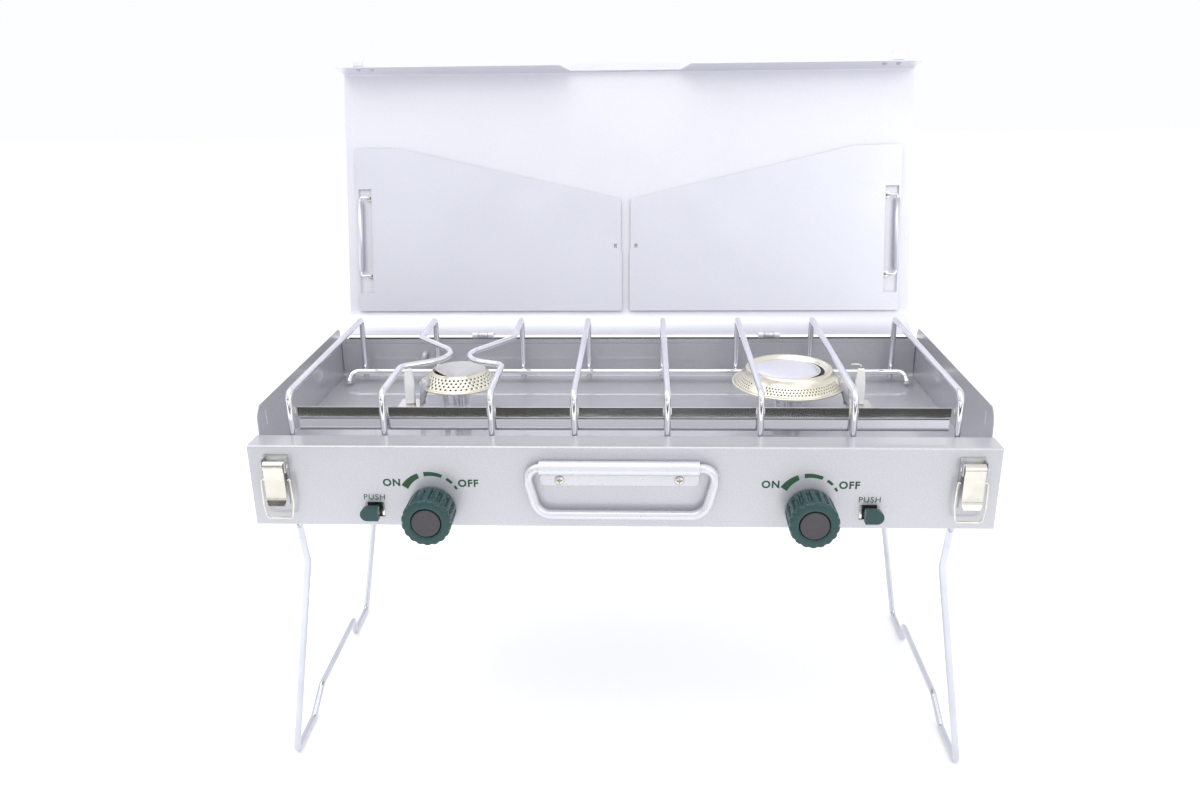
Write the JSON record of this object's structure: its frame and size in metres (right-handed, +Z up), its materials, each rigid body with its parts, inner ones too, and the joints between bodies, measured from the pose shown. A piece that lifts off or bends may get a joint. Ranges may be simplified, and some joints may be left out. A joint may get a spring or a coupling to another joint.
{
  "type": "camping stove",
  "caption": "Folding camping stove with burners over a drip tray, wire pot grate, hinged lid with windshields, draw latches, carrying handle and folding wire legs.",
  "frame": {"origin": "on the ground under the middle of the open stove", "axes": "+X to the right seen from the front, +Y to the back, +Z up"},
  "size_m": [0.6028, 0.3954, 0.5997],
  "materials": {
    "silver_paint": "satin silver paint with fine metallic flake",
    "grey_enamel": "semi-gloss grey enamel",
    "lid_paint": "satin pale silver paint",
    "chrome_wire": "bright chrome-plated steel",
    "stainless": "pressed stainless steel, warm tone",
    "nickel": "nickel-plated steel",
    "zinc": "zinc-plated steel",
    "ceramic": "white glazed ceramic",
    "green_plastic": "dark green moulded plastic",
    "grey_plastic": "grey moulded plastic",
    "handle_paint": "light silver paint"
  },
  "bodies": {
    "body": {"front_panel": "silver_paint", "casing": "silver_paint", "drip_tray": "grey_enamel", "handle_bracket": "handle_paint", "burner_bowl_left": "stainless", "burner_head_left": "stainless", "burner_cap_left": "stainless", "mixing_tube_left": "zinc", "igniter_bracket_left": "nickel", "igniter_electrode_left": "ceramic", "governor_left": "zinc", "canister_socket_left": "zinc", "piezo_unit_left": "grey_plastic", "latch_base_left": "nickel", "lid_hinge_left": "zinc", "leg_bracket_left": "zinc", "burner_bowl_right": "stainless", "burner_head_right": "stainless", "burner_cap_right": "stainless", "mixing_tube_right": "zinc", "igniter_bracket_right": "nickel", "igniter_electrode_right": "ceramic", "governor_right": "zinc", "canister_socket_right": "zinc", "piezo_unit_right": "grey_plastic", "latch_base_right": "nickel", "lid_hinge_right": "zinc", "leg_bracket_right": "zinc"},
    "lid": {"lid_shell": "lid_paint", "lid_leaf_left": "lid_paint", "strike_left": "nickel", "windshield_wire_left": "chrome_wire", "lid_leaf_right": "lid_paint", "strike_right": "nickel", "windshield_wire_right": "chrome_wire"},
    "pot_grate": {"grate_wire_1": "chrome_wire", "grate_wire_2": "chrome_wire", "grate_wire_3": "chrome_wire", "grate_wire_4": "chrome_wire", "grate_wire_5": "chrome_wire", "grate_wire_6": "chrome_wire", "grate_wire_7": "chrome_wire", "grate_wire_8": "chrome_wire", "grate_front_rail": "chrome_wire", "grate_rear_rail": "chrome_wire"},
    "carrying_handle": {"carrying_handle": "handle_paint"},
    "windshield_left": {"windshield_left": "lid_paint"},
    "leg_left": {"leg_left": "chrome_wire"},
    "knob_left": {"knob_left": "green_plastic", "knob_cap_left": "grey_plastic"},
    "push_lever_left": {"push_lever_left": "green_plastic"},
    "latch_lever_left": {"latch_lever_left": "nickel"},
    "latch_bail_left": {"latch_bail_left": "nickel"},
    "windshield_right": {"windshield_right": "lid_paint"},
    "leg_right": {"leg_right": "chrome_wire"},
    "knob_right": {"knob_right": "green_plastic", "knob_cap_right": "grey_plastic"},
    "push_lever_right": {"push_lever_right": "green_plastic"},
    "latch_lever_right": {"latch_lever_right": "nickel"},
    "latch_bail_right": {"latch_bail_right": "nickel"}
  },
  "joints": [
    {"name": "lid_hinge", "type": "hinge", "parent": "body", "child": "lid", "pos_m": [0, 0.0985, 0.3295], "axis": [-1, 0, 0], "range_deg": [-104, 0]},
    {"name": "grate_lift", "type": "slide", "parent": "body", "child": "pot_grate", "axis": [0, 0, 1], "range_m": [0, 0.06]},
    {"name": "handle_swing", "type": "hinge", "parent": "body", "child": "carrying_handle", "pos_m": [0, -0.175, 0.301], "axis": [-1, 0, 0], "range_deg": [0, 90]},
    {"name": "windshield_swing_left", "type": "hinge", "parent": "lid", "child": "windshield_left", "pos_m": [-0.2785, 0.14865, 0.4199], "axis": [0, -0.2477, -0.9688], "range_deg": [0, 90]},
    {"name": "leg_fold_left", "type": "hinge", "parent": "body", "child": "leg_left", "pos_m": [-0.2698, -0.029, 0.24], "axis": [0, 1, 0], "range_deg": [-93, 0]},
    {"name": "knob_turn_left", "type": "hinge", "parent": "body", "child": "knob_left", "pos_m": [-0.15, -0.169, 0.263], "axis": [0, -1, 0], "range_deg": [0, 110]},
    {"name": "push_left", "type": "slide", "parent": "body", "child": "push_lever_left", "axis": [0, 1, 0], "range_m": [0, 0.004]},
    {"name": "latch_open_left", "type": "hinge", "parent": "body", "child": "latch_lever_left", "pos_m": [-0.2725, -0.175, 0.3015], "axis": [1, 0, 0], "range_deg": [-150, 0]},
    {"name": "latch_bail_swing_left", "type": "hinge", "parent": "latch_lever_left", "child": "latch_bail_left", "pos_m": [-0.2725, -0.175, 0.29], "axis": [-1, 0, 0], "range_deg": [0, 165]},
    {"name": "windshield_swing_right", "type": "hinge", "parent": "lid", "child": "windshield_right", "pos_m": [0.2785, 0.14865, 0.4199], "axis": [0, 0.2477, 0.9688], "range_deg": [0, 90]},
    {"name": "leg_fold_right", "type": "hinge", "parent": "body", "child": "leg_right", "pos_m": [0.2698, -0.029, 0.24], "axis": [0, -1, 0], "range_deg": [-93, 0]},
    {"name": "knob_turn_right", "type": "hinge", "parent": "body", "child": "knob_right", "pos_m": [0.15, -0.169, 0.263], "axis": [0, -1, 0], "range_deg": [0, 110]},
    {"name": "push_right", "type": "slide", "parent": "body", "child": "push_lever_right", "axis": [0, 1, 0], "range_m": [0, 0.004]},
    {"name": "latch_open_right", "type": "hinge", "parent": "body", "child": "latch_lever_right", "pos_m": [0.2725, -0.175, 0.3015], "axis": [1, 0, 0], "range_deg": [-150, 0]},
    {"name": "latch_bail_swing_right", "type": "hinge", "parent": "latch_lever_right", "child": "latch_bail_right", "pos_m": [0.2725, -0.175, 0.29], "axis": [-1, 0, 0], "range_deg": [0, 165]}
  ]
}
